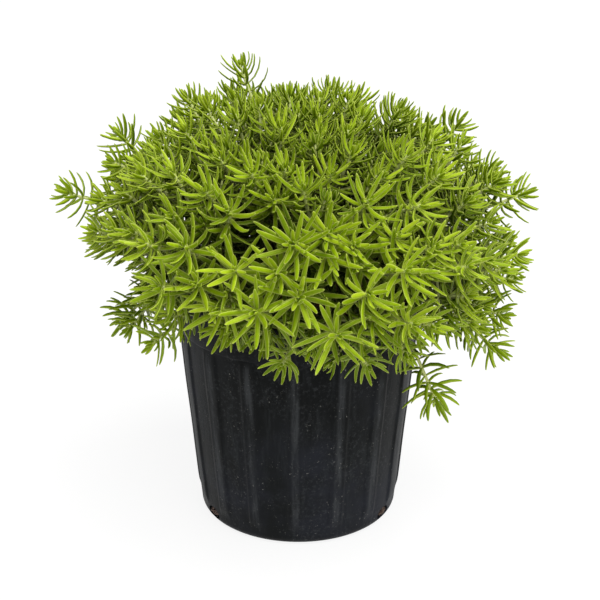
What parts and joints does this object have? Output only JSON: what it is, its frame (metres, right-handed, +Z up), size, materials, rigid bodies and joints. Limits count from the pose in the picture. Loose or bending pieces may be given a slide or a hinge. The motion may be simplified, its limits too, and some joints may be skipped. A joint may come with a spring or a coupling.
{
  "type": "potted lemon ball sedum",
  "caption": "Mounding sedum with fine lemon-green needle leaves on forked stems, rooted in soil in a ribbed black nursery pot.",
  "frame": {"origin": "centre of the pot's flat underside", "axes": "+Z up along the pot's axis, -Y to the side that faces the viewer in the picture, +X to that viewer's right"},
  "size_m": [0.3289, 0.2855, 0.3073],
  "materials": {
    "black_plastic": "blow-moulded polyethylene, satin, scuffed and dusty",
    "potting_soil": "moist bark and peat mix, crumbly",
    "sedum_leaf": "fleshy needle leaves, satin with a waxy sheen"
  },
  "bodies": {
    "root": {"pot": "black_plastic", "soil": "potting_soil", "leafy_stem_01": "sedum_leaf", "leafy_stem_02": "sedum_leaf", "leafy_stem_03": "sedum_leaf", "leafy_stem_04": "sedum_leaf", "leafy_stem_05": "sedum_leaf", "leafy_stem_06": "sedum_leaf", "leafy_stem_07": "sedum_leaf", "leafy_stem_08": "sedum_leaf", "leafy_stem_09": "sedum_leaf", "leafy_stem_10": "sedum_leaf", "leafy_stem_11": "sedum_leaf", "leafy_stem_12": "sedum_leaf", "leafy_stem_13": "sedum_leaf", "leafy_stem_14": "sedum_leaf", "leafy_stem_15": "sedum_leaf", "leafy_stem_16": "sedum_leaf", "leafy_stem_17": "sedum_leaf", "leafy_stem_18": "sedum_leaf", "leafy_stem_19": "sedum_leaf", "leafy_stem_20": "sedum_leaf", "leafy_stem_21": "sedum_leaf", "leafy_stem_22": "sedum_leaf", "leafy_stem_23": "sedum_leaf", "leafy_stem_24": "sedum_leaf", "leafy_stem_25": "sedum_leaf", "leafy_stem_26": "sedum_leaf", "leafy_stem_27": "sedum_leaf", "leafy_stem_28": "sedum_leaf", "leafy_stem_29": "sedum_leaf", "leafy_stem_30": "sedum_leaf", "leafy_stem_31": "sedum_leaf", "leafy_stem_32": "sedum_leaf", "leafy_stem_33": "sedum_leaf", "leafy_stem_34": "sedum_leaf", "leafy_stem_35": "sedum_leaf", "leafy_stem_36": "sedum_leaf", "leafy_stem_37": "sedum_leaf", "leafy_stem_38": "sedum_leaf", "leafy_stem_39": "sedum_leaf", "leafy_stem_40": "sedum_leaf", "leafy_stem_41": "sedum_leaf", "leafy_stem_42": "sedum_leaf", "leafy_stem_43": "sedum_leaf", "leafy_stem_44": "sedum_leaf", "leafy_stem_45": "sedum_leaf", "leafy_stem_46": "sedum_leaf", "leafy_stem_47": "sedum_leaf", "leafy_stem_48": "sedum_leaf", "leafy_stem_49": "sedum_leaf", "leafy_stem_50": "sedum_leaf", "leafy_stem_51": "sedum_leaf", "leafy_stem_52": "sedum_leaf", "leafy_stem_53": "sedum_leaf", "leafy_stem_54": "sedum_leaf", "leafy_stem_55": "sedum_leaf", "leafy_stem_56": "sedum_leaf"}
  },
  "joints": []
}
